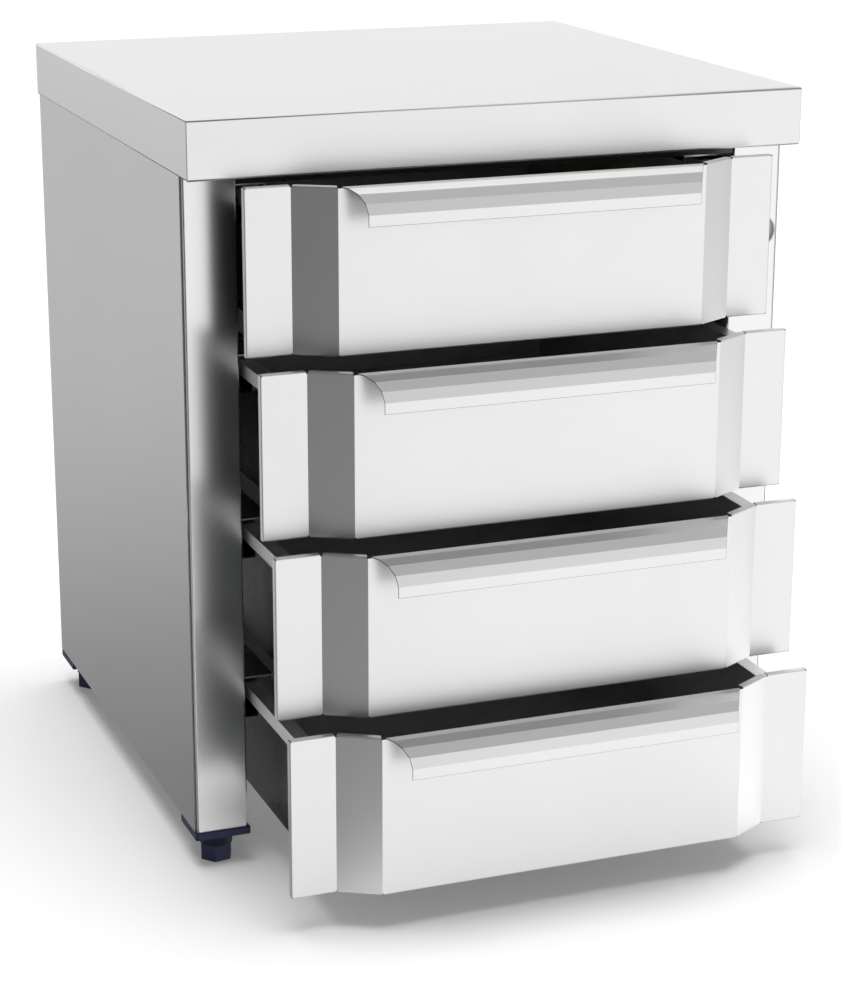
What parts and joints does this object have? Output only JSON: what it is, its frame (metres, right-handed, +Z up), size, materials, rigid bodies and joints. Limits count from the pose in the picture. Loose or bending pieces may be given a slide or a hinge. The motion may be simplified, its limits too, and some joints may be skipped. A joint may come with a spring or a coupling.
{
  "type": "drawer unit",
  "caption": "Stainless steel drawer unit for a kitchen: a worktop on square legs with wide drawers, each front folded from one sheet with a curled pull along its top.",
  "frame": {"origin": "on the floor, at the middle of the bounding box with the drawers pulled out as in the picture", "axes": "+X to the right for someone who faces the drawers, +Y from the fronts to the back, +Z up"},
  "size_m": [0.73, 0.9242, 0.8742],
  "materials": {
    "stainless_sheet": "fine satin stainless sheet",
    "slide_steel": "dull drawn steel",
    "foot_plastic": "moulded navy plastic",
    "plug_plastic": "moulded grey plastic",
    "top_board": "raw board, hidden"
  },
  "bodies": {
    "cabinet": {"worktop": "stainless_sheet", "top_board": "top_board", "side_panel_left": "stainless_sheet", "side_panel_right": "stainless_sheet", "back_panel": "stainless_sheet", "leg_front_left": "stainless_sheet", "leg_front_right": "stainless_sheet", "leg_rear_left": "stainless_sheet", "leg_rear_right": "stainless_sheet", "top_tie_front": "stainless_sheet", "top_tie_rear": "stainless_sheet", "bottom_tie_rear": "stainless_sheet", "leg_plug": "plug_plastic", "leg_cap_front_left": "foot_plastic", "leg_cap_front_right": "foot_plastic", "leg_cap_rear_left": "foot_plastic", "leg_cap_rear_right": "foot_plastic", "guide_rails_1": "stainless_sheet", "slide_carriers_1": "stainless_sheet", "slide_fixed_1": "slide_steel", "guide_rails_2": "stainless_sheet", "slide_carriers_2": "stainless_sheet", "slide_fixed_2": "slide_steel", "guide_rails_3": "stainless_sheet", "slide_carriers_3": "stainless_sheet", "slide_fixed_3": "slide_steel", "guide_rails_4": "stainless_sheet", "slide_carriers_4": "stainless_sheet", "slide_fixed_4": "slide_steel"},
    "drawer_1": {"drawer_1_front": "stainless_sheet", "drawer_1_tray": "stainless_sheet", "drawer_1_back": "stainless_sheet", "drawer_1_runner_left": "slide_steel", "drawer_1_runner_right": "slide_steel"},
    "middle_1": {"slide_middle_1": "slide_steel"},
    "drawer_2": {"drawer_2_front": "stainless_sheet", "drawer_2_tray": "stainless_sheet", "drawer_2_back": "stainless_sheet", "drawer_2_runner_left": "slide_steel", "drawer_2_runner_right": "slide_steel"},
    "middle_2": {"slide_middle_2": "slide_steel"},
    "drawer_3": {"drawer_3_front": "stainless_sheet", "drawer_3_tray": "stainless_sheet", "drawer_3_back": "stainless_sheet", "drawer_3_runner_left": "slide_steel", "drawer_3_runner_right": "slide_steel"},
    "middle_3": {"slide_middle_3": "slide_steel"},
    "drawer_4": {"drawer_4_front": "stainless_sheet", "drawer_4_tray": "stainless_sheet", "drawer_4_back": "stainless_sheet", "drawer_4_runner_left": "slide_steel", "drawer_4_runner_right": "slide_steel"},
    "middle_4": {"slide_middle_4": "slide_steel"},
    "levelling_front_left": {"foot_front_left": "foot_plastic"},
    "levelling_front_right": {"foot_front_right": "foot_plastic"},
    "levelling_rear_left": {"foot_rear_left": "foot_plastic"},
    "levelling_rear_right": {"foot_rear_right": "foot_plastic"}
  },
  "joints": [
    {"name": "drawer_1_slide", "type": "slide", "parent": "cabinet", "child": "drawer_1", "axis": [0, -1, 0], "range_m": [-0.061, 0.479]},
    {"name": "middle_1_slide", "type": "slide", "parent": "cabinet", "child": "middle_1", "axis": [0, -1, 0], "range_m": [-0.0305, 0.2395]},
    {"name": "drawer_2_slide", "type": "slide", "parent": "cabinet", "child": "drawer_2", "axis": [0, -1, 0], "range_m": [-0.109, 0.431]},
    {"name": "middle_2_slide", "type": "slide", "parent": "cabinet", "child": "middle_2", "axis": [0, -1, 0], "range_m": [-0.0545, 0.2155]},
    {"name": "drawer_3_slide", "type": "slide", "parent": "cabinet", "child": "drawer_3", "axis": [0, -1, 0], "range_m": [-0.15, 0.39]},
    {"name": "middle_3_slide", "type": "slide", "parent": "cabinet", "child": "middle_3", "axis": [0, -1, 0], "range_m": [-0.075, 0.195]},
    {"name": "drawer_4_slide", "type": "slide", "parent": "cabinet", "child": "drawer_4", "axis": [0, -1, 0], "range_m": [-0.193, 0.347]},
    {"name": "middle_4_slide", "type": "slide", "parent": "cabinet", "child": "middle_4", "axis": [0, -1, 0], "range_m": [-0.0965, 0.1735]},
    {"name": "levelling_front_left_slide", "type": "slide", "parent": "cabinet", "child": "levelling_front_left", "axis": [0, 0, -1], "range_m": [0, 0.025]},
    {"name": "levelling_front_right_slide", "type": "slide", "parent": "cabinet", "child": "levelling_front_right", "axis": [0, 0, -1], "range_m": [0, 0.025]},
    {"name": "levelling_rear_left_slide", "type": "slide", "parent": "cabinet", "child": "levelling_rear_left", "axis": [0, 0, -1], "range_m": [0, 0.025]},
    {"name": "levelling_rear_right_slide", "type": "slide", "parent": "cabinet", "child": "levelling_rear_right", "axis": [0, 0, -1], "range_m": [0, 0.025]}
  ],
  "couplings": [
    {"joint": "middle_1_slide", "follows": "drawer_1_slide", "ratio": 0.5},
    {"joint": "middle_2_slide", "follows": "drawer_2_slide", "ratio": 0.5},
    {"joint": "middle_3_slide", "follows": "drawer_3_slide", "ratio": 0.5},
    {"joint": "middle_4_slide", "follows": "drawer_4_slide", "ratio": 0.5}
  ]
}
